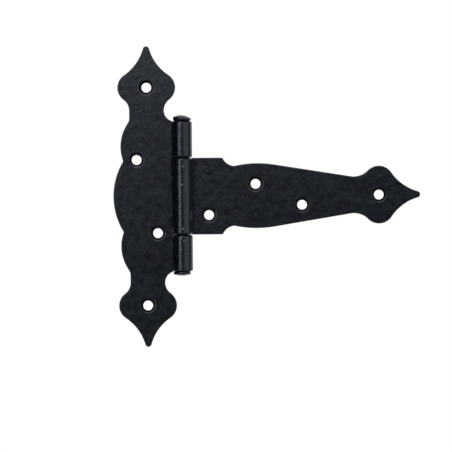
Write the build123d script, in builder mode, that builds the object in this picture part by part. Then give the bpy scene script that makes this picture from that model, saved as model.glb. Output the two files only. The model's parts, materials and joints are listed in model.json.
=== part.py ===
from build123d import *
import os
from math import acos, asin, atan2, cos, degrees, hypot, radians

# Angle gate hinge: an upright leaf for the post and a long strap for the gate, both cut from
# steel sheet with spade-shaped ends, and turning on one pin. The leaf's two end knuckles and
# the strap's middle knuckle are rolled from the same sheet as their plates.
#
# Frame: the origin is the centre of the leaf's back face. +Z is up, along the pin, +X runs
# from the leaf to the strap, and -Y is the front, where the barrel stands proud. Lengths are
# in millimetres.

# Overall sizes
leaf_height = 190.0  # from spade tip to spade tip
leaf_width = 50.0  # from the leaf's far edge to the far side of the barrel
strap_length = 150.5  # from the pin's axis to the strap's tip

# Sheet and barrel
sheet = 3.0  # thickness of both plates
pin_d = 7.0
pin_gap = 0.08  # radial running clearance of the pin in the knuckles
spade_reach = 47.5  # from each end of the barrel to the tip of the spade beyond it
opening_height = 49.0  # notch in the leaf that takes the strap's knuckle
end_gap = 0.35  # free play at each end of the strap's knuckle
fold_gap = 0.2  # from the leaf's notch to a strap that is folded square to the back
lip_gap = 0.29  # from the end of each rolled lip to the front of its own plate

# Spade, the same on all three ends
spade_length = 26.1  # from the middle of the lobe to the tip
spade_half = 18.25  # half width at the middle of the lobe
lobe_r = 9.5  # roundness of the lobe's sides
lobe_turn = 56.0  # degrees of the lobe's arc before it sweeps in to the tip
nose_r = 2.0  # roundness of the blunt tip

# Leaf outline
leaf_neck_half = 10.95  # half width of the narrow neck behind each spade
leaf_neck_run = 14.5  # from the middle of the lobe back to the neck
belly_reach = 21.3  # how far the middle of the leaf bulges away from the pin
lobule_reach = 16.6  # the same for the small lobe above and below it
lobule_drop = 22.9  # from the neck down to the small lobe's widest point
lobule_r = 26.0
cusp_drop = 9.1  # from there down to the notch where it meets the middle bulge
waist_r = 6.0  # hollow between the neck and the small lobe
armpit_reach = 5.4  # from the pin's axis back to the hollow between neck and barrel

# Strap outline, measured along the strap from the pin's axis
root_length = 25.6  # straight part next to the barrel
scoop_end = 33.0  # where the scoop beside the root meets the bowed side
scoop_r = 8.7
bow_start = 47.5  # widest point of the bowed side
bow_half = 20.5  # half width there
bow_r = 66.5
strap_neck_half = 11.6
strap_neck_run = 15.8

# Screw holes, as distance along the plate and height
hole_d = 6.2
rim_bevel = 1.0  # eased rim of each hole on the front
far_hole_inset = 14.8  # from the leaf's far edge to the upper of its two middle holes
near_hole_inset = 8.84  # from the side of the leaf's notch to the lower one
leaf_hole_z = 23.2  # height of those holes above and below the middle
strap_holes = [(16.9, -12.0), (46.5, 7.5), (75.8, -6.0)]

# Pin ends
seat_r = 4.9  # where the head and the tail bear on the knuckles
head_r = 5.5
head_height = 3.7
head_flare = 0.8  # height of the head's flared underside
tail_r = 5.35
tail_height = 2.6
tail_flare = 0.5
rim_band = 1.1  # straight band round the rim of the head and of the tail

# Edges
corner_r = 0.8  # corners of the two outlines, seen from the front
front_bevel = 0.45  # front edges, and the bore ends that they run into
back_bevel = 0.35  # back edges, and the outer ends of the knuckles that they run into

# Worked out from the sizes above
pin_r = pin_d / 2
roll_inner_r = pin_r + pin_gap
roll_outer_r = roll_inner_r + sheet
pin_x = leaf_width - belly_reach - roll_outer_r
pin_y = -roll_outer_r
wrap_turn = 270 + degrees(asin((roll_inner_r - lip_gap) / roll_outer_r))
notch_x = pin_x - roll_outer_r - fold_gap
barrel_half = leaf_height / 2 - spade_reach
opening_half = opening_height / 2
root_half = opening_half - end_gap
hole_r = hole_d / 2
leaf_spade_z = leaf_height / 2 - spade_length
strap_spade_s = strap_length - spade_length
same = 1e-4  # places closer together than this are one place

strap_plane = Plane(origin=(pin_x, 0, 0), x_dir=(1, 0, 0), z_dir=(0, -1, 0))
pin_side = Plane(origin=(pin_x, pin_y, 0), x_dir=(1, 0, 0), z_dir=(0, -1, 0))
pin_axis = Axis((pin_x, pin_y, 0), (0, 0, 1))


def hollow_radius(neck_half, neck_run):
    """Radius of the hollow that carries a spade's lobe smoothly into its neck."""
    drop = spade_half - neck_half
    return (neck_run**2 + drop**2) / (2 * drop) - lobe_r


def flank_arc(shoulder):
    """Radius and turn of the arc that carries the end of a lobe smoothly into the blunt tip."""
    start = shoulder @ 1
    heading = shoulder % 1
    tip_centre = Vector(spade_length - nose_r, 0)
    outward = Vector(-heading.Y, heading.X)
    from_tip = start - tip_centre
    radius = (from_tip.length**2 - nose_r**2) / (2 * (nose_r - from_tip.dot(outward)))
    to_tip = tip_centre - start - outward * radius
    turn = degrees(acos((-outward).dot(to_tip) / to_tip.length))
    return radius, turn


def spade(neck_half, neck_run):
    """A spade that points along +X, with the middle of its lobe at the origin."""
    neck_turn = 2 * degrees(atan2(spade_half - neck_half, neck_run))
    with BuildSketch() as outline:
        with BuildLine():
            shoulder = JernArc((0, spade_half), (1, 0), lobe_r, -lobe_turn)
            flank = JernArc(shoulder @ 1, shoulder % 1, *flank_arc(shoulder))
            back = JernArc((0, spade_half), (-1, 0), lobe_r, neck_turn)
            JernArc(back @ 1, back % 1, hollow_radius(neck_half, neck_run), -neck_turn)
            mirror(about=Plane.XZ)
            nose = flank @ 1
            ThreePointArc(nose, (spade_length, 0), (nose.X, -nose.Y))
            Line((-neck_run, neck_half), (-neck_run, -neck_half))
        make_face()
    return outline.sketch


def rolled_section(plate_side, height):
    """Section through a knuckle, from where its plate reaches the pin to the end of its lip.

    The plate lies on plate_side of the pin, -1 or +1 along X.
    """
    away = (-plate_side, 0)
    turn = plate_side * wrap_turn
    with BuildSketch(Plane(origin=(pin_x, pin_y, height))) as section:
        with BuildLine():
            outside = JernArc((0, roll_outer_r), away, roll_outer_r, turn)
            inside = JernArc((0, roll_inner_r), away, roll_inner_r, turn)
            Line(outside @ 1, inside @ 1)
            Line((0, roll_outer_r), (0, roll_inner_r))
        make_face()
    return section.sketch


def corners_at(outline, *places):
    """Corners of a flat outline at the given places and at their mirror images in Z."""
    return ShapeList(
        corner
        for corner in outline.vertices()
        for x, z in places
        if abs(corner.X - x) < same and abs(abs(corner.Y) - z) < same
    )


def arcs_of_radius(part, radius):
    """Round edges of a part that have the given radius."""
    round_edges = part.edges().filter_by(GeomType.CIRCLE)
    return round_edges.filter_by(lambda edge: abs(edge.radius - radius) < same)


def front_edges(part):
    """Edges between the sheet's front and its cut sides, on the plate and in the knuckles."""
    flat = part.edges().filter_by_position(Axis.Y, -sheet - same, -sheet + same)
    tangent_line = flat.filter_by(Axis.Z).filter_by_position(Axis.X, pin_x - same, pin_x + same)
    return flat - tangent_line + arcs_of_radius(part, roll_inner_r)


os.makedirs("parts", exist_ok=True)

# Post leaf
leaf_neck_z = leaf_spade_z - leaf_neck_run
lobule_z = leaf_neck_z - lobule_drop
armpit_x = pin_x - armpit_reach
waist_turn = degrees(acos(1 - (lobule_reach - leaf_neck_half) / (waist_r + lobule_r)))
cusp_turn = degrees(asin(cusp_drop / lobule_r))
leaf_spade = spade(leaf_neck_half, leaf_neck_run)
leaf_knuckles = [rolled_section(-1, opening_half), rolled_section(-1, -barrel_half)]

with BuildPart() as post_leaf:
    with BuildSketch(Plane.XZ) as leaf_blank:
        with BuildLine():
            lobule = JernArc((-lobule_reach, lobule_z), (0, -1), lobule_r, cusp_turn)
            rise = JernArc((-lobule_reach, lobule_z), (0, 1), lobule_r, -waist_turn)
            waist = JernArc(rise @ 1, rise % 1, waist_r, waist_turn)
            Line(waist @ 1, (-leaf_neck_half, leaf_neck_z))
            Line((-leaf_neck_half, leaf_neck_z), (leaf_neck_half, leaf_neck_z))
            TangentArc((leaf_neck_half, leaf_neck_z), (armpit_x, barrel_half), tangent=(0, -1))
            Polyline(
                (armpit_x, barrel_half),
                (pin_x, barrel_half),
                (pin_x, opening_half),
                (notch_x, opening_half),
                (notch_x, 0),
            )
            mirror(about=Plane.XZ)
            cusp = lobule @ 1
            ThreePointArc(cusp, (-belly_reach, 0), (cusp.X, -cusp.Y))
        make_face()
        with PolarLocations(leaf_spade_z, 2, 90):
            add(leaf_spade)
        fillet(
            corners_at(
                leaf_blank,
                (cusp.X, cusp.Y),
                (armpit_x, barrel_half),
                (notch_x, opening_half),
            ),
            corner_r,
        )
    extrude(amount=sheet)
    for knuckle in leaf_knuckles:
        extrude(knuckle, amount=barrel_half - opening_half)
    chamfer(front_edges(post_leaf), front_bevel)
    chamfer(arcs_of_radius(post_leaf, roll_outer_r), back_bevel)
    with Locations(Plane.XZ.offset(sheet)):
        with Locations(
            (0, leaf_spade_z),
            (0, -leaf_spade_z),
            (far_hole_inset - belly_reach, leaf_hole_z),
            (notch_x - near_hole_inset, -leaf_hole_z),
        ):
            Hole(hole_r)
    chamfer(arcs_of_radius(post_leaf, hole_r).group_by(Axis.Y)[0], rim_bevel)
post_leaf.part.label = "post_leaf"
export_step(post_leaf.part, "parts/post_leaf.step")

# Gate strap
strap_neck_s = strap_spade_s - strap_neck_run
strap_hollow_r = hollow_radius(strap_neck_half, strap_neck_run)
bow_turn = degrees(asin((bow_start - scoop_end) / bow_r))
scoop_half = bow_half - bow_r * (1 - cos(radians(bow_turn)))
# The straight taper touches both the bowed side and the hollow at the neck.
centres_along = strap_neck_s - bow_start
centres_across = strap_neck_half + strap_hollow_r - bow_half + bow_r
taper_turn = degrees(
    asin((bow_r + strap_hollow_r) / hypot(centres_along, centres_across))
    - atan2(centres_across, centres_along)
)
strap_spade = spade(strap_neck_half, strap_neck_run)
strap_knuckle = rolled_section(1, -root_half)

with BuildPart() as gate_strap:
    with BuildSketch(strap_plane) as strap_blank:
        with BuildLine():
            Line((0, root_half), (root_length, root_half))
            RadiusArc((root_length, root_half), (scoop_end, scoop_half), -scoop_r)
            JernArc((bow_start, bow_half), (-1, 0), bow_r, bow_turn)
            bow = JernArc((bow_start, bow_half), (1, 0), bow_r, -taper_turn)
            neck = JernArc((strap_neck_s, strap_neck_half), (-1, 0), strap_hollow_r, -taper_turn)
            Line(bow @ 1, neck @ 1)
            mirror(about=Plane.XZ)
            Line((0, root_half), (0, -root_half))
            Line((strap_neck_s, strap_neck_half), (strap_neck_s, -strap_neck_half))
        make_face()
        with Locations((strap_spade_s, 0)):
            add(strap_spade)
        fillet(
            corners_at(strap_blank, (root_length, root_half), (scoop_end, scoop_half)),
            corner_r,
        )
    extrude(amount=sheet)
    extrude(strap_knuckle, amount=2 * root_half)
    chamfer(front_edges(gate_strap), front_bevel)
    chamfer(arcs_of_radius(gate_strap, roll_outer_r), back_bevel)
    with Locations(strap_plane.offset(sheet)):
        with Locations(*strap_holes, (strap_spade_s, 0)):
            Hole(hole_r)
    chamfer(arcs_of_radius(gate_strap, hole_r).group_by(Axis.Y)[0], rim_bevel)
gate_strap.part.label = "gate_strap"
export_step(gate_strap.part, "parts/gate_strap.step")

# Hinge pin
head_top = barrel_half + head_height
head_rim = barrel_half + head_flare
tail_end = barrel_half + tail_height
tail_rim = barrel_half + tail_flare

with BuildPart() as hinge_pin:
    with BuildSketch(pin_side):
        with BuildLine():
            TangentArc((0, head_top), (head_r, head_rim + rim_band), tangent=(1, 0))
            Polyline(
                (head_r, head_rim + rim_band),
                (head_r, head_rim),
                (seat_r, barrel_half),
                (pin_r, barrel_half),
                (pin_r, -barrel_half),
                (seat_r, -barrel_half),
                (tail_r, -tail_rim),
                (tail_r, -tail_rim - rim_band),
            )
            TangentArc((0, -tail_end), (tail_r, -tail_rim - rim_band), tangent=(1, 0))
            Line((0, -tail_end), (0, head_top))
        make_face()
    revolve(axis=pin_axis)
hinge_pin.part.label = "hinge_pin"
export_step(hinge_pin.part, "parts/hinge_pin.step")
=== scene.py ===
import json
from math import acos, asin, atan2, ceil, copysign, cos, hypot, pi, radians, sin, tan

import bmesh
import bpy
from bpy.props import FloatProperty, FloatVectorProperty, IntProperty, PointerProperty
from bpy.types import Operator, Panel, PropertyGroup
from mathutils import Matrix, Vector


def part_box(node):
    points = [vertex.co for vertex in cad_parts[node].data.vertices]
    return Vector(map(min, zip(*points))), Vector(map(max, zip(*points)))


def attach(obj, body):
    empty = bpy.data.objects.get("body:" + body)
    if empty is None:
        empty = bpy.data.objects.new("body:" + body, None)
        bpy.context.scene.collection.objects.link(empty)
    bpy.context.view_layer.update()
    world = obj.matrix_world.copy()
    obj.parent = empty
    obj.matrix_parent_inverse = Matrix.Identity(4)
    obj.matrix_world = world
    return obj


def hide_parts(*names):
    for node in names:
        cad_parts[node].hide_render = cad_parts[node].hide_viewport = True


bl_info = {
    "name": "Angle Gate Hinge",
    "version": (1, 0, 0),
    "blender": (4, 5, 0),
    "location": "3D Viewport > Sidebar > Gate Hinge",
    "description": "Builds a black painted gate hinge: post leaf, gate strap and riveted pin",
    "category": "Object",
}

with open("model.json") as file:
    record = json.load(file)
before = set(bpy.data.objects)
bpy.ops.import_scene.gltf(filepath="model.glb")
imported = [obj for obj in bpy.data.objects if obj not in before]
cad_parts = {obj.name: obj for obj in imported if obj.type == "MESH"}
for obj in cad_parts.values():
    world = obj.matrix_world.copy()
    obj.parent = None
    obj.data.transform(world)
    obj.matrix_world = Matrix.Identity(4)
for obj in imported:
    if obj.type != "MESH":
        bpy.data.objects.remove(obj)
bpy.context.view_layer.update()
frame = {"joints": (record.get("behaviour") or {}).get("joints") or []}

MM = 0.001
HINGE_JOINT = frame["joints"][0]
PIN_LINE = Vector(HINGE_JOINT["pos_m"])
LEAF_LOW, LEAF_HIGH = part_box("post_leaf")
PIN_LOW, PIN_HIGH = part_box("hinge_pin")

MERGE = 1e-6  # vertices nearer than this are one
NEAR = 1e-5  # places nearer than this are the same place
SHARP = radians(32)  # edges that turn more than this are corners of the sheet
CUT_TILT = 0.965  # faces whose normals lean this far from the plate's belong to its cut edges
HOLE_STEPS = 40  # faces round each hole
PIN_STEPS = 48  # faces round the pin
ROUND_STEPS = 4  # faces across a rounded edge or corner of a plate
FORGED_STEPS = 3  # faces across the rounded rims of the pin's head and tail
RIM_STEPS = 6  # steps that fit into the width of a hole's rounded rim
THICKNESS_CUTS = 3  # cuts through the sheet's thickness in a knuckle
LIP_STEPS = 2  # steps of a roll that the last face at its lip spans
BAND_ROOM = 1.1  # width of the band inside an edge, in widths of the edge's rounding
COLLAR_ROOM = 1.1  # width of the dimple and the flat beyond it, in widths of the dimple
DRAW_RUN = radians(60)  # turn of a roll over which its ends come to be drawn in
STRAP_DRAW_START = radians(100)  # turn of the strap's roll at which its ends begin to be drawn in
GLOSS_SPREAD = 0.045  # how far the paint's roughness strays either way
FLOOR_MIDDLE = 0.05  # metres to the right of the leaf's middle
FLOOR_RADIUS = 0.45  # metres
FLOOR_PALE = 0.20  # metres from the floor's middle at which it begins to turn white
FLOOR_WHITE = 0.44  # metres from the floor's middle at which it is white
FLOOR_STEPS = 96  # sides of the round floor


def length(name, description, size_mm):
    """A length that a user can change, with its usual size given in millimetres."""
    return FloatProperty(
        name=name,
        description=description,
        default=size_mm * MM,
        min=0.0,
        unit="LENGTH",
        subtype="DISTANCE",
        precision=5,
    )


def angle(name, description, turn):
    """An angle that a user can change, with its usual value given in degrees."""
    return FloatProperty(
        name=name,
        description=description,
        default=radians(turn),
        unit="ROTATION",
        subtype="ANGLE",
    )


def share(name, description, default):
    """A number from 0 to 1 that a user can change."""
    return FloatProperty(
        name=name,
        description=description,
        default=default,
        min=0.0,
        max=1.0,
        subtype="FACTOR",
    )


def hole_place(name, description, along_mm, up_mm):
    """Distance from the pin's axis and height of a hole in the strap, given in millimetres."""
    return FloatVectorProperty(
        name=name,
        description=f"{description}: distance from the pin's axis, and height",
        default=(along_mm * MM, up_mm * MM),
        size=2,
        unit="LENGTH",
    )


def colour(name, description, default):
    """A linear colour that a user can change."""
    return FloatVectorProperty(
        name=name,
        description=description,
        default=default,
        size=3,
        min=0.0,
        max=1.0,
        subtype="COLOR",
    )


class SheetSizes(PropertyGroup):
    """Sizes that the two plates share."""

    sheet: length("Sheet", "Thickness of both plates", 3.0)
    pin_gap: length("Pin gap", "Clearance between the pin and the knuckles", 0.08)
    pin_diameter: length("Pin diameter", "Diameter of the pin between its head and its tail", 7.0)
    lip_gap: length("Lip gap", "From the end of a rolled lip to the front of its plate", 0.29)
    barrel_height: length("Barrel height", "Height of all three knuckles together", 95.0)
    opening_height: length("Opening height", "Notch in the leaf for the strap's knuckle", 48.6)
    end_gap: length("End gap", "Free play at each end of the strap's knuckle", 0.04)
    fold_gap: length("Fold gap", "From the leaf's notch to a folded strap", 0.06)
    end_draw: length("End draw", "How far rolling has drawn in the outside of a knuckle's ends", 0.75)
    hole_diameter: length("Hole diameter", "Diameter of every screw hole", 6.2)
    rim_round: length("Rim rounding", "Width of the holes' rounded rims on the front", 1.3)
    dimple: length("Dimple", "Width of the shallow dimple that punching left round a hole", 0.7)
    dimple_lean: angle("Dimple lean", "Slope of the dimple where it meets the rim", 16.0)
    front_round: length("Front rounding", "Rounding of the plates' front edges", 0.5)
    back_round: length("Back rounding", "Rounding of the plates' back edges", 0.5)
    corner_round: length("Corner rounding", "Rounding of corners in the outlines", 0.6)
    step: length("Step", "Distance between vertices along a curved edge", 0.8)
    roll_steps: IntProperty(
        name="Roll steps", description="Faces round each rolled knuckle", default=50, min=12
    )


class SpadeSizes(PropertyGroup):
    """The spade on each end of the hinge."""

    length: length("Length", "From the middle of the lobe to the tip", 26.1)
    half_width: length("Half width", "Half width at the middle of the lobe", 18.25)
    lobe_radius: length("Lobe radius", "Roundness of the lobe's sides", 9.5)
    lobe_turn: angle("Lobe turn", "Turn of the lobe before it sweeps in to the tip", 56.0)
    nose_radius: length("Nose radius", "Roundness of the blunt tip", 2.0)


class LeafSizes(PropertyGroup):
    """Outline of the post leaf."""

    neck_half: length("Neck half width", "Half width of the neck behind each spade", 10.95)
    neck_run: length("Neck run", "From the middle of the lobe back to the neck", 14.5)
    belly_reach: length("Belly reach", "How far the middle of the leaf bulges", 21.3)
    lobule_reach: length("Small lobe reach", "How far the small lobe above the bulge reaches", 16.6)
    lobule_drop: length("Small lobe drop", "From the neck to the small lobe's widest point", 22.9)
    lobule_radius: length("Small lobe radius", "Roundness of the small lobe", 26.0)
    cusp_drop: length("Cusp drop", "From the small lobe's widest point to the bulge", 9.1)
    waist_radius: length("Waist radius", "Hollow between the neck and the small lobe", 6.0)
    armpit_reach: length("Armpit reach", "From the pin's axis to the hollow at the barrel", 5.4)
    near_inset: length("Near hole inset", "From the notch to the lower middle hole", 8.84)
    far_inset: length("Far hole inset", "From the far side to the upper middle hole", 14.8)
    hole_height: length("Hole height", "Height of the middle holes off the centre", 23.2)


class StrapSizes(PropertyGroup):
    """Outline of the gate strap, measured along it from the pin's axis."""

    length: length("Length", "From the pin's axis to the tip", 150.5)
    root_length: length("Root length", "Straight part next to the barrel", 25.6)
    scoop_end: length("Scoop end", "Where the scoop meets the bowed side", 33.0)
    scoop_radius: length("Scoop radius", "Roundness of the scoop beside the root", 8.7)
    bow_start: length("Bow start", "Widest point of the bowed side", 47.5)
    bow_half: length("Bow half width", "Half width at the widest point", 20.5)
    bow_radius: length("Bow radius", "Roundness of the bowed side", 66.5)
    neck_half: length("Neck half width", "Half width of the neck behind the spade", 11.6)
    neck_run: length("Neck run", "From the middle of the lobe back to the neck", 15.8)
    first_hole: hole_place("First hole", "The hole nearest the barrel", 16.9, -12.0)
    second_hole: hole_place("Second hole", "The next hole along the strap", 46.5, 7.5)
    third_hole: hole_place("Third hole", "The last hole before the spade", 75.8, -6.0)


class PinSizes(PropertyGroup):
    """The pin's forged head and its peened tail."""

    seat_radius: length("Seat radius", "Where the head and the tail bear on the knuckles", 4.9)
    head_radius: length("Head radius", "Radius of the head at its rim", 5.7)
    head_flare: length("Head flare", "Height of the head's flared underside", 0.8)
    tail_radius: length("Tail radius", "Radius of the tail at its rim", 5.45)
    tail_flare: length("Tail flare", "Height of the tail's flared side", 0.5)
    rim_band: length("Rim band", "Straight band round the rim of the head and of the tail", 1.1)
    rim_round: length("Rim rounding", "Rounding of the forged rims", 0.3)
    head_lean: angle("Head lean", "How far the forged head leans to the right", 5.0)
    apex_drop: length("Apex drop", "Keeps the leaning head below the pin's full height", 0.05)
    off_axis: length("Off axis", "Hammering has moved the head right and the tail left", 0.3)


class PaintSettings(PropertyGroup):
    """The satin black powder coat."""

    dark: colour("Dark", "Colour of the paint where it lies thick", (0.0020, 0.0012, 0.0060))
    light: colour("Light", "Colour of the paint on its high spots", (0.0003, 0.0050, 0.0080))
    speck: colour("Speck", "Colour of the pale specks in the paint", (0.10, 0.105, 0.115))
    pin: colour("Pin", "Colour of the paint on the pin", (0.0014, 0.0024, 0.0048))
    roughness: share("Roughness", "How matt the paint is", 0.27)
    relief: length("Relief", "Depth of the uneven paint", 0.11)
    gloss: share("Gloss", "How strongly the paint reflects", 0.54)
    sheen: colour("Gloss tint", "Colour of what the paint reflects", (0.82, 0.88, 1.0))
    # The cut edges' dark colour is painted shade for the dark rings round the holes.
    edge: colour("Cut edge", "Colour of the cut edges and hole walls", (0.0007, 0.0009, 0.0014))
    edge_roughness: share("Cut edge roughness", "How matt the cut edges are", 0.75)
    edge_gloss: share("Cut edge gloss", "How strongly the cut edges reflect", 0.06)


class StudioSettings(PropertyGroup):
    """Camera, lamps and floor."""

    aim: FloatVectorProperty(
        name="Aim",
        description="Point that the camera looks at",
        default=(49.68 * MM, -3.0 * MM, -19.03 * MM),
        size=3,
        subtype="TRANSLATION",
        unit="LENGTH",
    )
    view_width: length("View width", "Width of the view at the hinge", 285.66)
    distance: length("Distance", "From the camera to the hinge", 1800.0)
    roll: angle("Roll", "How far the camera leans to the right", 0.5)
    floor_drop: length("Floor drop", "From the lowest tip down to the floor", 125.0)


class HingeSettings(PropertyGroup):
    """Everything that the panel shows."""

    sheet: PointerProperty(type=SheetSizes)
    spade: PointerProperty(type=SpadeSizes)
    leaf: PointerProperty(type=LeafSizes)
    strap: PointerProperty(type=StrapSizes)
    pin: PointerProperty(type=PinSizes)
    paint: PointerProperty(type=PaintSettings)
    studio: PointerProperty(type=StudioSettings)


class Pen:
    """Draws an outline, all at one depth, by extruding and spinning its last vertex."""

    def __init__(self, mesh, x, z, y, step):
        self.mesh = mesh
        self.tip = mesh.verts.new((x, y, z))
        self.heading = 0.0
        self.step = step
        self.corners = []

    def corner(self):
        """Remember the last vertex as a corner that is rounded later."""
        self.corners.append(self.tip)

    def line_to(self, x, z):
        """Draw a straight run to a place, and leave along it."""
        run = Vector((x - self.tip.co.x, 0, z - self.tip.co.z))
        self.tip = bmesh.ops.extrude_vert_indiv(self.mesh, verts=[self.tip])["verts"][0]
        self.tip.co += run
        self.heading = atan2(run.z, run.x)

    def arc(self, radius, turn):
        """Draw an arc that starts along the heading and turns left by so many radians."""
        to_centre = self.heading + copysign(pi / 2, turn)
        centre = self.tip.co + Vector((cos(to_centre), 0, sin(to_centre))) * radius
        spun = bmesh.ops.spin(
            self.mesh,
            geom=[self.tip],
            cent=centre,
            axis=(0, -1, 0),
            angle=turn,
            steps=max(3, ceil(radius * abs(turn) / self.step)),
            use_duplicate=False,
        )
        self.tip = only(spun["geom_last"], bmesh.types.BMVert)[0]
        self.heading += turn

    def arc_to(self, x, z):
        """Draw the arc that leaves along the heading and ends at a place."""
        run = Vector((x - self.tip.co.x, z - self.tip.co.z))
        lean = (atan2(run.y, run.x) - self.heading + pi) % (2 * pi) - pi
        self.arc(run.length / 2 / abs(sin(lean)), 2 * lean)


def spade_arcs(spade, neck_half, neck_run):
    """Radius and turn of each arc from the neck, round one side of a spade, to its tip."""
    drop = spade.half_width - neck_half
    neck_turn = 2 * atan2(drop, neck_run)
    hollow = (neck_run**2 + drop**2) / (2 * drop) - spade.lobe_radius
    start = Vector(
        (
            spade.lobe_radius * sin(spade.lobe_turn),
            spade.half_width - spade.lobe_radius * (1 - cos(spade.lobe_turn)),
        )
    )
    outward = Vector((sin(spade.lobe_turn), cos(spade.lobe_turn)))
    tip_centre = Vector((spade.length - spade.nose_radius, 0))
    from_tip = start - tip_centre
    flank = (from_tip.length_squared - spade.nose_radius**2) / (
        2 * (spade.nose_radius - from_tip.dot(outward))
    )
    flank_turn = (-outward).angle(tip_centre - start - outward * flank)
    return [
        (hollow, neck_turn),
        (spade.lobe_radius, -neck_turn),
        (spade.lobe_radius, -spade.lobe_turn),
        (flank, flank_turn),
        (spade.nose_radius, -(pi / 2 - spade.lobe_turn + flank_turn)),
    ]


def roll_radii(sheet):
    """Inside and outside radius of a knuckle."""
    inside = sheet.pin_diameter / 2 + sheet.pin_gap
    return inside, inside + sheet.sheet


def draw_leaf(mesh, hinge):
    """Upper half of the leaf's outline, from the middle of its far side round to its notch."""
    sheet, leaf = hinge.sheet, hinge.leaf
    neck_z = LEAF_HIGH.z - hinge.spade.length - leaf.neck_run
    lobule_z = neck_z - leaf.lobule_drop
    cusp_z = lobule_z - leaf.cusp_drop
    cusp_turn = asin(leaf.cusp_drop / leaf.lobule_radius)
    cusp_reach = leaf.lobule_reach - leaf.lobule_radius * (1 - cos(cusp_turn))
    belly_rise = leaf.belly_reach - cusp_reach
    belly_radius = (cusp_z**2 + belly_rise**2) / (2 * belly_rise)
    waist_turn = acos(
        1 - (leaf.lobule_reach - leaf.neck_half) / (leaf.waist_radius + leaf.lobule_radius)
    )
    notch_x = PIN_LINE.x - roll_radii(sheet)[1] - sheet.fold_gap
    arcs = spade_arcs(hinge.spade, leaf.neck_half, leaf.neck_run)

    pen = Pen(mesh, -leaf.belly_reach, 0, -sheet.sheet, sheet.step)
    pen.heading = pi / 2
    pen.arc(belly_radius, -asin(cusp_z / belly_radius))
    pen.corner()
    pen.heading = pi / 2 + cusp_turn
    pen.arc(leaf.lobule_radius, -cusp_turn - waist_turn)
    pen.arc(leaf.waist_radius, waist_turn)
    pen.line_to(-leaf.neck_half, neck_z)
    for radius, turn in arcs + arcs[::-1]:
        pen.arc(radius, turn)
    pen.arc_to(PIN_LINE.x - leaf.armpit_reach, sheet.barrel_height / 2)
    pen.line_to(PIN_LINE.x, sheet.barrel_height / 2)
    pen.line_to(PIN_LINE.x, sheet.opening_height / 2)
    pen.line_to(notch_x, sheet.opening_height / 2)
    pen.corner()
    pen.line_to(notch_x, 0)
    return pen


def draw_strap(mesh, hinge):
    """Upper half of the strap's outline, from the middle of its root out to its tip."""
    sheet, strap = hinge.sheet, hinge.strap
    root_half = sheet.opening_height / 2 - sheet.end_gap
    neck_x = strap.length - hinge.spade.length - strap.neck_run
    arcs = spade_arcs(hinge.spade, strap.neck_half, strap.neck_run)
    hollow = arcs[0][0]
    bow_turn = asin((strap.bow_start - strap.scoop_end) / strap.bow_radius)
    scoop_half = strap.bow_half - strap.bow_radius * (1 - cos(bow_turn))
    scoop = Vector((strap.scoop_end - strap.root_length, scoop_half - root_half))
    scoop_lean = asin(scoop.length / 2 / strap.scoop_radius)
    along = neck_x - strap.bow_start
    across = strap.neck_half + hollow - strap.bow_half + strap.bow_radius
    taper = asin((strap.bow_radius + hollow) / hypot(along, across)) - atan2(across, along)

    pen = Pen(mesh, PIN_LINE.x, 0, -sheet.sheet, sheet.step)
    pen.line_to(PIN_LINE.x, root_half)
    pen.line_to(PIN_LINE.x + strap.root_length, root_half)
    pen.corner()
    pen.heading = atan2(scoop.y, scoop.x) - scoop_lean
    pen.arc(strap.scoop_radius, 2 * scoop_lean)
    pen.heading = bow_turn
    pen.arc(strap.bow_radius, -bow_turn - taper)
    pen.line_to(
        PIN_LINE.x + neck_x - hollow * sin(taper), strap.neck_half + hollow * (1 - cos(taper))
    )
    pen.arc(hollow, taper)
    for radius, turn in arcs:
        pen.arc(radius, turn)
    return pen


def only(items, kind):
    """Those of a bmesh operator's results that are of one kind."""
    return [item for item in items if isinstance(item, kind)]


def unique(items):
    """Each item once, in the order of its first place, where a set's order changes between runs."""
    return list(dict.fromkeys(items))


def within_one(value):
    """A value kept between 0 and 1."""
    return min(1.0, max(0.0, value))


def roll_knuckle(mesh, sheet, low, high, side, draw_start):
    """Roll the plate's edge between two heights round the pin, from a plate on that side of it.

    From draw_start on, the roll has drawn in the outside of the knuckle's ends.
    """
    inside, outside = roll_radii(sheet)
    # Three quarters of a turn, and on until the lip is its gap away from the plate's front.
    wrap = 1.5 * pi + asin((inside - sheet.lip_gap) / outside)

    def at_pin(item):
        return all(
            abs(vert.co.x - PIN_LINE.x) < NEAR and low - NEAR < vert.co.z < high + NEAR
            for vert in item.verts
        )

    across = [
        item
        for item in mesh.edges
        if at_pin(item) and abs(item.verts[0].co.z - item.verts[1].co.z) < NEAR
    ]
    bmesh.ops.subdivide_edges(mesh, edges=across, cuts=THICKNESS_CUTS, use_grid_fill=True)
    edge_faces = [face for face in mesh.faces if at_pin(face)]
    edge_lines = unique(edge for face in edge_faces for edge in face.edges)
    edge_points = unique(vert for face in edge_faces for vert in face.verts)
    flat = set(mesh.verts)
    end = edge_points + edge_lines + edge_faces
    # The lip's last face spans more than one step, so that the band inside its edge fits on it.
    lip = wrap * LIP_STEPS / sheet.roll_steps
    for turn, steps in ((wrap - lip, sheet.roll_steps - LIP_STEPS), (lip, 1)):
        end = bmesh.ops.spin(
            mesh,
            geom=end,
            cent=PIN_LINE,
            axis=(0, 0, side),
            angle=turn,
            steps=steps,
            use_duplicate=False,
        )["geom_last"]
    middle = (low + high) / 2
    for vert in mesh.verts:
        if vert in flat or min(abs(vert.co.z - low), abs(vert.co.z - high)) > NEAR:
            continue
        x, y = vert.co.x - PIN_LINE.x, vert.co.y - PIN_LINE.y
        turned = atan2(-side * x, y) % (2 * pi)
        rolled = within_one((turned - draw_start) / DRAW_RUN)
        outer = (hypot(x, y) - inside) / sheet.sheet
        # Drawn in most at the outside of the sheet, and eased in along the turn.
        drawn = sheet.end_draw * outer**3 * rolled * rolled * (3 - 2 * rolled)
        vert.co.z -= copysign(drawn, vert.co.z - middle)


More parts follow.
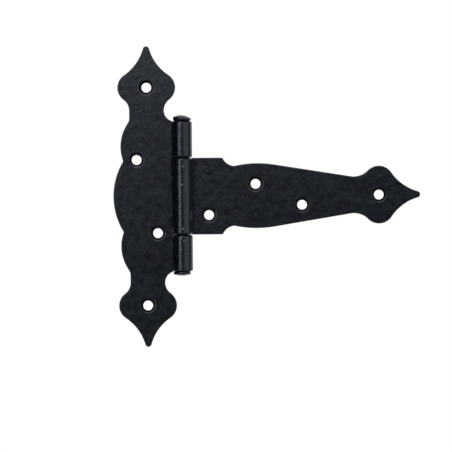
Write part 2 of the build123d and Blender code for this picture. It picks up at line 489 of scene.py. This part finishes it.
def smooth_region(face):
    """All faces that a face reaches without crossing a sharp edge."""
    region = [face]
    found = set(region)
    for member in region:
        for edge in member.edges:
            if edge.calc_face_angle() > SHARP:
                continue
            for near in edge.link_faces:
                if near not in found:
                    found.add(near)
                    region.append(near)
    return region


def rim_edges(region):
    """Sharp edges round a smooth region."""
    edges = unique(edge for face in region for edge in face.edges)
    return [edge for edge in edges if edge.calc_face_angle() > SHARP]


def round_edges(mesh, edges, amount, segments):
    """Round some edges off."""
    bmesh.ops.bevel(
        mesh,
        geom=edges,
        offset=amount,
        offset_type="OFFSET",
        segments=segments,
        profile=0.5,
        affect="EDGES",
        material=-1,
        loop_slide=True,
        clamp_overlap=False,
    )


def collar_radius(sheet):
    """How far the wall, rims and dimple of a screw hole reach from its middle."""
    return sheet.hole_diameter / 2 + sheet.rim_round + sheet.dimple * COLLAR_ROOM


def add_collar(mesh, sheet, x, z):
    """The wall of a screw hole with its rims and its dimple, out to the collar left for it."""
    hole, lean, back = sheet.hole_diameter / 2, sheet.dimple_lean, sheet.back_round
    ring = bmesh.new()
    pen = Pen(ring, collar_radius(sheet), sheet.sheet, 0, sheet.rim_round / RIM_STEPS)
    pen.line_to(hole + sheet.rim_round + sheet.dimple, sheet.sheet)
    pen.arc(sheet.dimple / sin(lean), lean)
    pen.arc(sheet.rim_round / (1 - sin(lean)), pi / 2 - lean)
    pen.line_to(hole, back)
    pen.arc(back, pi / 2)
    pen.line_to(collar_radius(sheet), 0)
    bmesh.ops.spin(
        ring,
        geom=ring.verts[:] + ring.edges[:],
        cent=(0, 0, 0),
        axis=(0, 0, 1),
        angle=2 * pi,
        steps=HOLE_STEPS,
        use_merge=True,
        use_duplicate=False,
    )
    turn = Matrix.Translation((x, 0, z)) @ Matrix.Rotation(pi / 2, 4, "X")
    bmesh.ops.transform(ring, matrix=turn, verts=ring.verts[:])
    data = bpy.data.meshes.new("collar")
    ring.to_mesh(data)
    ring.free()
    mesh.from_mesh(data)
    bpy.data.meshes.remove(data)


def mark_cut_edges(mesh, sheet):
    """Give the plate's cut edges and hole walls, but not the barrel, the second of its materials, whose
    dark colour is painted shade.
    """
    barrel = roll_radii(sheet)[1]
    mesh.normal_update()
    for face in mesh.faces:
        steep = abs(face.normal.y) < CUT_TILT
        if steep and all(abs(vert.co.x - PIN_LINE.x) > barrel for vert in face.verts):
            face.material_index = 1


def cut_plate(hinge, draw, holes, knuckles, side, draw_start, notch_x=None):
    """A sheet cut to its outline, pierced, rolled round the pin and eased along its edges.

    A notch at notch_x keeps its edges as they were cut.
    """
    sheet = hinge.sheet
    collar = collar_radius(sheet)
    mesh = bmesh.new()
    pen = draw(mesh, hinge)
    bmesh.ops.bevel(
        mesh,
        geom=pen.corners,
        offset=sheet.corner_round,
        segments=ROUND_STEPS,
        profile=0.5,
        affect="VERTICES",
        material=-1,
    )
    bmesh.ops.mirror(mesh, geom=mesh.verts[:] + mesh.edges[:], axis="Z", merge_dist=MERGE)
    for x, z in holes:
        bmesh.ops.create_circle(
            mesh,
            cap_ends=False,
            radius=collar,
            segments=HOLE_STEPS,
            matrix=Matrix.Translation((x, -sheet.sheet, z)) @ Matrix.Rotation(pi / 2, 4, "X"),
        )
    bmesh.ops.triangle_fill(mesh, use_beauty=True, edges=mesh.edges[:], normal=(0, -1, 0))
    thick = bmesh.ops.extrude_face_region(mesh, geom=mesh.faces[:])
    bmesh.ops.translate(
        mesh, verts=only(thick["geom"], bmesh.types.BMVert), vec=(0, sheet.sheet, 0)
    )
    bmesh.ops.recalc_face_normals(mesh, faces=mesh.faces[:])
    for low, high in knuckles:
        roll_knuckle(mesh, sheet, low, high, side, draw_start)
    bmesh.ops.remove_doubles(mesh, verts=mesh.verts[:], dist=MERGE)
    bmesh.ops.recalc_face_normals(mesh, faces=mesh.faces[:])

    def face_at(depth):
        return max(
            (f for f in mesh.faces if all(abs(v.co.y - depth) < NEAR for v in f.verts)),
            key=lambda face: face.calc_area(),
        )

    def on_collar(item):
        return any(
            all(hypot(vert.co.x - x, vert.co.z - z) < collar + NEAR for vert in item.verts)
            for x, z in holes
        )

    def as_cut(item):
        return notch_x is not None and all(abs(vert.co.x - notch_x) < NEAR for vert in item.verts)

    # A narrow band inside each edge keeps the rounding even and the flats flat.
    for depth in (-sheet.sheet, 0.0):
        bmesh.ops.inset_region(
            mesh,
            faces=smooth_region(face_at(depth)),
            thickness=sheet.front_round * BAND_ROOM,
            use_even_offset=True,
            use_boundary=True,
        )
    for depth, amount in ((-sheet.sheet, sheet.front_round), (0.0, sheet.back_round)):
        rims = rim_edges(smooth_region(face_at(depth)))
        worn = [edge for edge in rims if not on_collar(edge) and not as_cut(edge)]
        round_edges(mesh, worn, amount, ROUND_STEPS)
    walls = [face for face in mesh.faces if on_collar(face)]
    bmesh.ops.delete(mesh, geom=walls, context="FACES")
    for x, z in holes:
        add_collar(mesh, sheet, x, z)
    bmesh.ops.remove_doubles(mesh, verts=mesh.verts[:], dist=MERGE)
    bmesh.ops.recalc_face_normals(mesh, faces=mesh.faces[:])
    mark_cut_edges(mesh, sheet)
    return mesh


def finish_piece(mesh, name, materials, body, node):
    """Turn a mesh into a finished piece that stands for a node and moves with its body."""
    bmesh.ops.remove_doubles(mesh, verts=mesh.verts[:], dist=MERGE)
    bmesh.ops.recalc_face_normals(mesh, faces=mesh.faces[:])
    for face in mesh.faces:
        face.smooth = True
    for edge in mesh.edges:
        edge.smooth = edge.calc_face_angle() < SHARP
    data = bpy.data.meshes.new(name)
    mesh.to_mesh(data)
    mesh.free()
    for material in materials:
        data.materials.append(material)
    piece = bpy.data.objects.new(name, data)
    bpy.context.scene.collection.objects.link(piece)
    even = piece.modifiers.new("Even shading", "WEIGHTED_NORMAL")
    even.keep_sharp = True
    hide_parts(node)
    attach(piece, body)


class NodePad:
    """Places and links the nodes of one material or world."""

    def __init__(self, tree):
        self.tree = tree
        tree.nodes.clear()

    def add(self, kind, x, y, **settings):
        """Add a node. Settings whose names are the node's own are set on it, others on its sockets."""
        node = self.tree.nodes.new(kind)
        node.location = (x, y)
        for name, value in settings.items():
            if hasattr(node, name):
                setattr(node, name, value)
            else:
                node.inputs[name.replace("_", " ")].default_value = value
        return node

    def link(self, out, into):
        """Lead an output into a socket."""
        self.tree.links.new(out, into)

    def math(self, operation, x, y, *values, **settings):
        """Add a Math node fed by outputs or plain numbers in order, and give its output."""
        node = self.add("ShaderNodeMath", x, y, operation=operation, **settings)
        for socket, value in zip(node.inputs, values):
            if isinstance(value, bpy.types.NodeSocket):
                self.link(value, socket)
            else:
                socket.default_value = value
        return node.outputs[0]

    def ray_kinds(self, x, y):
        """Outputs that are 1 for what the camera sees, and 1 for what gloss and glass see."""
        seen = self.add("ShaderNodeLightPath", x, y)
        glossy, through = seen.outputs["Is Glossy Ray"], seen.outputs["Is Transmission Ray"]
        return seen.outputs["Is Camera Ray"], self.math("ADD", x + 200, y - 100, glossy, through)


def paint_material(name, paint, light):
    """Satin powder coat over steel: a mottled tone, pale specks and an uneven, slightly pitted skin."""
    material = bpy.data.materials.new(name)
    material.use_nodes = True
    material.diffuse_color = (*light, 1)
    pad = NodePad(material.node_tree)
    place = pad.add("ShaderNodeTexCoord", -1500, 0).outputs["Object"]

    cloud = pad.add("ShaderNodeTexNoise", -1250, 350, Scale=75.0, Detail=3.0, Roughness=0.55)
    mottle = pad.add("ShaderNodeTexNoise", -1250, 80, Scale=250.0, Detail=5.0, Roughness=0.64)
    grain = pad.add("ShaderNodeTexNoise", -1250, -190, Scale=1100.0, Detail=2.0, Roughness=0.5)
    pits = pad.add("ShaderNodeTexVoronoi", -1250, -460, Scale=230.0, Randomness=1.0)
    for texture in (cloud, mottle, grain, pits):
        pad.link(place, texture.inputs["Vector"])

    # Tone: the mottle, and nearly half as much of the cloud
    tones = pad.math("MULTIPLY_ADD", -1000, 250, cloud.outputs["Fac"], 0.45, mottle.outputs["Fac"])
    spread = pad.add("ShaderNodeMapRange", -800, 250, From_Min=0.50, From_Max=0.95)
    pad.link(tones, spread.inputs["Value"])
    tone = pad.add("ShaderNodeMix", -580, 250, data_type="RGBA")
    tone.inputs["A"].default_value = (*paint.dark, 1)
    tone.inputs["B"].default_value = (*light, 1)
    pad.link(spread.outputs["Result"], tone.inputs["Factor"])

    # Pale specks, only in the cells whose random colour is a light one
    speck = pad.add("ShaderNodeMapRange", -1000, -400, From_Min=0.20, From_Max=0.08)
    pad.link(pits.outputs["Distance"], speck.inputs["Value"])
    chosen = pad.math("GREATER_THAN", -1000, -640, pits.outputs["Color"], 0.72)
    specks = pad.math("MULTIPLY", -780, -480, speck.outputs["Result"], chosen)
    faint = pad.math("MULTIPLY", -580, -480, specks, 0.9)
    speckled = pad.add("ShaderNodeMix", -340, 180, data_type="RGBA")
    speckled.inputs["B"].default_value = (*paint.speck, 1)
    pad.link(faint, speckled.inputs["Factor"])
    pad.link(tone.outputs["Result"], speckled.inputs["A"])

    # Skin: its roughness follows the mottle, and grain and specks stand half as high as the mottle
    matt = pad.add("ShaderNodeMapRange", -580, -60, From_Min=0.3, From_Max=0.7)
    matt.inputs["To Min"].default_value = paint.roughness - GLOSS_SPREAD
    matt.inputs["To Max"].default_value = paint.roughness + GLOSS_SPREAD
    pad.link(mottle.outputs["Fac"], matt.inputs["Value"])
    fine = pad.math("MULTIPLY_ADD", -1000, -60, grain.outputs["Fac"], 0.5, mottle.outputs["Fac"])
    rise = pad.math("MULTIPLY_ADD", -780, -220, specks, 0.5, fine)
    skin = pad.add("ShaderNodeBump", -340, -260, Strength=1.0, Distance=paint.relief)
    pad.link(rise, skin.inputs["Height"])

    shader = pad.add("ShaderNodeBsdfPrincipled", -80, 120, Specular_IOR_Level=paint.gloss)
    shader.inputs["Specular Tint"].default_value = (*paint.sheen, 1)
    pad.link(speckled.outputs["Result"], shader.inputs["Base Color"])
    pad.link(matt.outputs["Result"], shader.inputs["Roughness"])
    pad.link(skin.outputs["Normal"], shader.inputs["Normal"])
    out = pad.add("ShaderNodeOutputMaterial", 220, 120)
    pad.link(shader.outputs["BSDF"], out.inputs["Surface"])
    return material


def cut_edge_shade_material(name, paint):
    """Matt paint on the sheet's cut edges and hole walls, whose dark colour is painted shade for the
    dark rings round the holes.
    """
    material = bpy.data.materials.new(name)
    material.use_nodes = True
    material.diffuse_color = (*paint.edge, 1)
    pad = NodePad(material.node_tree)
    place = pad.add("ShaderNodeTexCoord", -900, 0).outputs["Object"]
    grain = pad.add("ShaderNodeTexNoise", -700, 0, Scale=900.0, Detail=3.0, Roughness=0.6)
    pad.link(place, grain.inputs["Vector"])
    skin = pad.add("ShaderNodeBump", -400, -150, Strength=1.0, Distance=paint.relief)
    pad.link(grain.outputs["Fac"], skin.inputs["Height"])
    shader = pad.add(
        "ShaderNodeBsdfPrincipled",
        -100,
        100,
        Base_Color=(*paint.edge, 1),
        Roughness=paint.edge_roughness,
        Specular_IOR_Level=paint.edge_gloss,
    )
    pad.link(skin.outputs["Normal"], shader.inputs["Normal"])
    out = pad.add("ShaderNodeOutputMaterial", 200, 100)
    pad.link(shader.outputs["BSDF"], out.inputs["Surface"])
    return material


class HINGE_OT_leaf(Operator):
    """Cut, pierce and roll the leaf that is screwed to the post"""

    bl_idname = "gate_hinge.leaf"
    bl_label = "Build Post Leaf"

    def execute(self, context):
        hinge = context.scene.gate_hinge
        sheet, leaf = hinge.sheet, hinge.leaf
        spade_z = LEAF_HIGH.z - hinge.spade.length
        notch_x = PIN_LINE.x - roll_radii(sheet)[1] - sheet.fold_gap
        holes = [
            (0.0, spade_z),
            (0.0, -spade_z),
            (leaf.far_inset - leaf.belly_reach, leaf.hole_height),
            (notch_x - leaf.near_inset, -leaf.hole_height),
        ]
        low, high = sheet.opening_height / 2, sheet.barrel_height / 2
        knuckles = [(low, high), (-high, -low)]
        mesh = cut_plate(
            hinge, draw_leaf, holes, knuckles, side=-1, draw_start=0.0, notch_x=notch_x
        )
        materials = [
            paint_material("leaf_paint", hinge.paint, hinge.paint.light),
            # The second material's dark colour is painted shade on the cut edges and round the holes.
            cut_edge_shade_material("leaf_edge_shade_paint", hinge.paint),
        ]
        finish_piece(mesh, "leaf_plate", materials, "leaf", "post_leaf")
        return {"FINISHED"}


class HINGE_OT_strap(Operator):
    """Cut, pierce and roll the strap that is screwed to the gate"""

    bl_idname = "gate_hinge.strap"
    bl_label = "Build Gate Strap"

    def execute(self, context):
        hinge = context.scene.gate_hinge
        sheet, strap = hinge.sheet, hinge.strap
        root_half = sheet.opening_height / 2 - sheet.end_gap
        along = [strap.first_hole, strap.second_hole, strap.third_hole]
        along.append((strap.length - hinge.spade.length, 0.0))
        holes = [(PIN_LINE.x + place[0], place[1]) for place in along]
        knuckles = [(-root_half, root_half)]
        mesh = cut_plate(hinge, draw_strap, holes, knuckles, side=1, draw_start=STRAP_DRAW_START)
        materials = [
            paint_material("strap_paint", hinge.paint, hinge.paint.light),
            # The second material's dark colour is painted shade on the cut edges and round the holes.
            cut_edge_shade_material("strap_edge_shade_paint", hinge.paint),
        ]
        finish_piece(mesh, "strap_plate", materials, "strap", "gate_strap")
        return {"FINISHED"}


class HINGE_OT_pin(Operator):
    """Turn the pin, flare its head and tail over the knuckles and hammer them"""

    bl_idname = "gate_hinge.pin"
    bl_label = "Build Hinge Pin"

    def execute(self, context):
        hinge = context.scene.gate_hinge
        sheet, pin = hinge.sheet, hinge.pin
        half = sheet.barrel_height / 2
        radius = sheet.pin_diameter / 2
        mesh = bmesh.new()
        pen = Pen(mesh, 0, PIN_HIGH.z - pin.apex_drop, 0, sheet.step / 2)
        pen.arc_to(pin.head_radius, half + pin.head_flare + pin.rim_band)
        for reach, height in (
            (pin.head_radius, half + pin.head_flare),
            (pin.seat_radius, half),
            (radius, half),
            (radius, -half),
            (pin.seat_radius, -half),
            (pin.tail_radius, -half - pin.tail_flare),
            (pin.tail_radius, -half - pin.tail_flare - pin.rim_band),
        ):
            pen.line_to(reach, height)
        dome = PIN_LOW.z + half + pin.tail_flare + pin.rim_band
        pen.heading = 2 * atan2(dome, -pin.tail_radius) + pi
        pen.arc_to(0, PIN_LOW.z)
        bmesh.ops.spin(
            mesh,
            geom=mesh.verts[:] + mesh.edges[:],
            cent=(0, 0, 0),
            axis=(0, 0, 1),
            angle=2 * pi,
            steps=PIN_STEPS,
            use_merge=True,
            use_duplicate=False,
        )
        bmesh.ops.remove_doubles(mesh, verts=mesh.verts[:], dist=MERGE)
        bmesh.ops.recalc_face_normals(mesh, faces=mesh.faces[:])
        rims = [
            edge
            for edge in mesh.edges
            if all(vert.co.xy.length > pin.seat_radius + NEAR for vert in edge.verts)
            and abs(edge.verts[0].co.z - edge.verts[1].co.z) < NEAR
        ]
        round_edges(mesh, rims, pin.rim_round, FORGED_STEPS)
        for vert in mesh.verts:
            raised = within_one((vert.co.z - half) / pin.head_flare)
            lowered = within_one((-half - vert.co.z) / pin.tail_flare)
            vert.co.z -= tan(pin.head_lean) * vert.co.x * raised
            vert.co.x += pin.off_axis * (raised - lowered)
        bmesh.ops.translate(mesh, verts=mesh.verts[:], vec=(PIN_LINE.x, PIN_LINE.y, 0))
        paint = paint_material("pin_paint", hinge.paint, hinge.paint.pin)
        finish_piece(mesh, "riveted_pin", [paint], "leaf", "hinge_pin")
        return {"FINISHED"}


def softbox(name, aim, bearing, height, distance, width, tall, power):
    """A rectangular lamp that faces the hinge, at angles right of the camera and above it."""
    lamp = bpy.data.lights.new(name, "AREA")
    lamp.shape = "RECTANGLE"
    lamp.size = width
    lamp.size_y = tall
    lamp.energy = power
    place = Vector((sin(bearing) * cos(height), -cos(bearing) * cos(height), sin(height)))
    item = bpy.data.objects.new(name, lamp)
    item.location = aim + place * distance
    item.rotation_euler = (-place).to_track_quat("-Z", "Y").to_euler()
    bpy.context.scene.collection.objects.link(item)


class HINGE_OT_stage(Operator):
    """Set up the camera, the lamps, the pale floor and the white background"""

    bl_idname = "gate_hinge.stage"
    bl_label = "Build Stage"

    def execute(self, context):
        scene = context.scene
        studio = scene.gate_hinge.studio
        aim = Vector(studio.aim)
        scene.view_settings.view_transform = "Standard"

        lens = bpy.data.cameras.new("Camera")
        lens.type = "PERSP"
        lens.sensor_width = 36.0
        lens.lens = lens.sensor_width * studio.distance / studio.view_width
        camera = bpy.data.objects.new("Camera", lens)
        camera.location = aim + Vector((0, -studio.distance, 0))
        camera.rotation_euler = (pi / 2, studio.roll, 0)
        scene.collection.objects.link(camera)
        scene.camera = camera

        middle = Vector((PIN_LINE.x, 0, 0))
        # Degrees right of the camera and above it, then metres away, wide and tall, then watts
        for name, bearing, height, distance, width, tall, power in (
            ("Strip", -25, 4, 1.5, 0.34, 0.8, 4.0),
            ("Overhead", -4, 35, 1.7, 0.9, 1.5, 14.0),
            ("Right fill", 51, 8, 1.6, 1.9, 1.3, 7.9),
        ):
            softbox(name, middle, radians(bearing), radians(height), distance, width, tall, power)

        floor_mesh = bmesh.new()
        bmesh.ops.create_circle(
            floor_mesh,
            cap_ends=True,
            radius=FLOOR_RADIUS,
            segments=FLOOR_STEPS,
            matrix=Matrix.Translation((FLOOR_MIDDLE, 0, LEAF_LOW.z - studio.floor_drop)),
        )
        data = bpy.data.meshes.new("floor")
        floor_mesh.to_mesh(data)
        floor_mesh.free()
        floor = bpy.data.objects.new("floor", data)
        scene.collection.objects.link(floor)
        data.materials.append(floor_material())
        light_world(scene)
        return {"FINISHED"}


def floor_material():
    """A pale floor that fades into the white background at its edge."""
    material = bpy.data.materials.new("pale_floor")
    material.use_nodes = True
    pad = NodePad(material.node_tree)
    place = pad.add("ShaderNodeTexCoord", -900, 0).outputs["Object"]
    centred = pad.add("ShaderNodeMapping", -700, 0)
    centred.inputs["Location"].default_value = (-FLOOR_MIDDLE, 0, 0)
    centred.inputs["Scale"].default_value = (1.0, 1.0, 0.0)
    pad.link(place, centred.inputs["Vector"])
    reach = pad.add("ShaderNodeVectorMath", -500, 0, operation="LENGTH")
    pad.link(centred.outputs["Vector"], reach.inputs[0])
    fade = pad.add("ShaderNodeMapRange", -300, 0, From_Min=FLOOR_PALE, From_Max=FLOOR_WHITE)
    fade.interpolation_type = "SMOOTHSTEP"
    pad.link(reach.outputs["Value"], fade.inputs["Value"])
    seen, mirrored = pad.ray_kinds(-700, 400)
    direct = pad.math("ADD", -300, 300, seen, mirrored, use_clamp=True)
    white = pad.math("MULTIPLY", -80, 150, fade.outputs["Result"], direct)
    plain = pad.add("ShaderNodeBsdfPrincipled", -80, -60, Roughness=0.7)
    plain.inputs["Base Color"].default_value = (0.86, 0.86, 0.86, 1)
    glow = pad.add("ShaderNodeEmission", -80, -480, Color=(1, 1, 1, 1))
    mix = pad.add("ShaderNodeMixShader", 220, 0)
    pad.link(white, mix.inputs[0])
    pad.link(plain.outputs["BSDF"], mix.inputs[1])
    pad.link(glow.outputs["Emission"], mix.inputs[2])
    out = pad.add("ShaderNodeOutputMaterial", 420, 0)
    pad.link(mix.outputs["Shader"], out.inputs["Surface"])
    return material


def light_world(scene):
    """White where the camera looks, a white backdrop behind the hinge and a dark room in front."""
    world = bpy.data.worlds.new("World")
    scene.world = world
    world.use_nodes = True
    pad = NodePad(world.node_tree)
    way = pad.add("ShaderNodeTexCoord", -1100, -100).outputs["Generated"]
    parts = pad.add("ShaderNodeSeparateXYZ", -900, -100)
    pad.link(way, parts.inputs["Vector"])
    # The backdrop lights the hinge from behind, and the room in front gives off very little.
    behind = pad.add("ShaderNodeMapRange", -700, -100, From_Min=0.45, From_Max=0.80, To_Min=0.01)
    # Gloss and glass see the backdrop further round than it gives light.
    facing = pad.add("ShaderNodeMapRange", -700, -380, From_Min=0.05, From_Max=0.60)
    for fade in (behind, facing):
        fade.interpolation_type = "SMOOTHSTEP"
        pad.link(parts.outputs["Y"], fade.inputs["Value"])
    seen, mirrored = pad.ray_kinds(-900, 300)
    backdrop = pad.math("MULTIPLY", -480, 100, mirrored, facing.outputs["Result"])
    bright = pad.math("ADD", -260, 240, seen, backdrop, use_clamp=True)
    room = pad.add("ShaderNodeBackground", -260, -60, Color=(1, 1, 1, 1))
    pad.link(behind.outputs["Result"], room.inputs["Strength"])
    white = pad.add("ShaderNodeBackground", -260, -240, Color=(1, 1, 1, 1), Strength=1.0)
    mix = pad.add("ShaderNodeMixShader", 0, 0)
    pad.link(bright, mix.inputs[0])
    pad.link(room.outputs["Background"], mix.inputs[1])
    pad.link(white.outputs["Background"], mix.inputs[2])
    out = pad.add("ShaderNodeOutputWorld", 220, 0)
    pad.link(mix.outputs["Shader"], out.inputs["Surface"])


class HINGE_PT_sidebar(Panel):
    """Sizes, colours and building steps of the gate hinge"""

    bl_label = "Gate Hinge"
    bl_idname = "HINGE_PT_sidebar"
    bl_space_type = "VIEW_3D"
    bl_region_type = "UI"
    bl_category = "Gate Hinge"

    def draw(self, context):
        layout = self.layout
        hinge = context.scene.gate_hinge
        for label, group in (
            ("Sheet and barrel", hinge.sheet),
            ("Spades", hinge.spade),
            ("Post leaf", hinge.leaf),
            ("Gate strap", hinge.strap),
            ("Pin", hinge.pin),
            ("Paint", hinge.paint),
            ("Stage", hinge.studio),
        ):
            box = layout.box()
            box.label(text=label)
            for name in group.__annotations__:
                box.prop(group, name)
        for operator in (HINGE_OT_leaf, HINGE_OT_strap, HINGE_OT_pin, HINGE_OT_stage):
            layout.operator(operator.bl_idname)


CLASSES = (
    SheetSizes,
    SpadeSizes,
    LeafSizes,
    StrapSizes,
    PinSizes,
    PaintSettings,
    StudioSettings,
    HingeSettings,
    HINGE_OT_leaf,
    HINGE_OT_strap,
    HINGE_OT_pin,
    HINGE_OT_stage,
    HINGE_PT_sidebar,
)


def register():
    for item in CLASSES:
        bpy.utils.register_class(item)
    bpy.types.Scene.gate_hinge = PointerProperty(type=HingeSettings)


def unregister():
    del bpy.types.Scene.gate_hinge
    for item in reversed(CLASSES):
        bpy.utils.unregister_class(item)


def main():
    register()
    bpy.ops.gate_hinge.leaf()
    bpy.ops.gate_hinge.strap()
    bpy.ops.gate_hinge.pin()
    bpy.ops.gate_hinge.stage()


if __name__ == "__main__":
    main()
